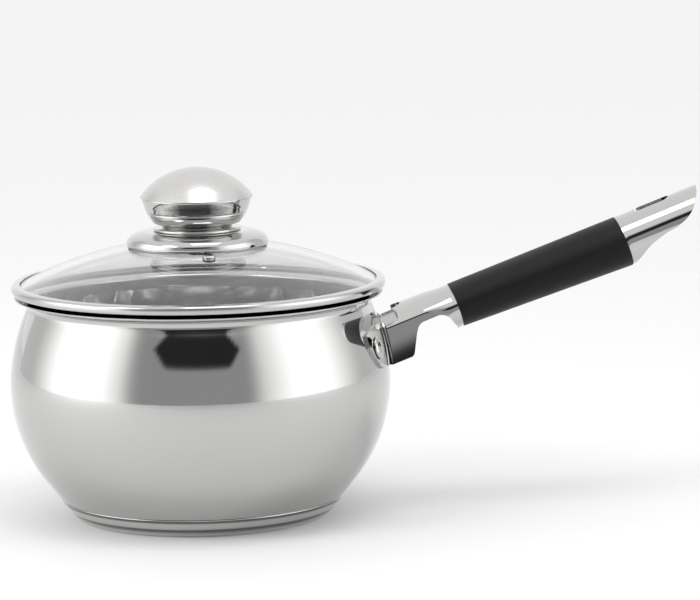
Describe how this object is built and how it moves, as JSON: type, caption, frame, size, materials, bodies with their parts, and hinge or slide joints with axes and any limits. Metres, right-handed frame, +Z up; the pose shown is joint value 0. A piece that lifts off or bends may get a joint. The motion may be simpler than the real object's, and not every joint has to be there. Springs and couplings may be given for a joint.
{
  "type": "saucepan with glass lid",
  "caption": "Belly-shaped stainless saucepan with a flared rim, a riveted long handle with a black grip sleeve, and a domed glass lid with a hollow metal knob.",
  "frame": {"origin": "centre of the pan's resting face, on the pan's axis", "axes": "+Z up along the pan's axis, +X towards the handle"},
  "size_m": [0.32, 0.1756, 0.1609],
  "materials": {
    "polished_steel": "mirror-polished stainless steel",
    "satin_steel": "satin stainless steel",
    "base_aluminium": "pressed aluminium",
    "grip_black": "black satin heat-resistant grip",
    "tempered_glass": "clear tempered glass",
    "silicone": "translucent grey silicone"
  },
  "bodies": {
    "pan": {"pan_shell": "polished_steel", "base_core": "base_aluminium", "base_cap": "polished_steel", "handle_channel": "polished_steel", "grip_sleeve": "grip_black", "rivet_front": "polished_steel", "rivet_rear": "polished_steel"},
    "lid": {"lid_glass": "tempered_glass", "lid_band": "polished_steel", "vent_eyelet": "polished_steel", "knob_skirt": "polished_steel", "knob_collar": "polished_steel", "knob_cup": "polished_steel", "knob_cap": "satin_steel", "knob_insert": "base_aluminium", "knob_screw": "satin_steel", "screw_washer": "satin_steel", "gasket_under": "silicone", "gasket_top": "silicone"}
  },
  "joints": [
    {"name": "lid_lift", "type": "slide", "parent": "pan", "child": "lid", "axis": [0, 0, 1], "range_m": [0, 0.12]}
  ]
}
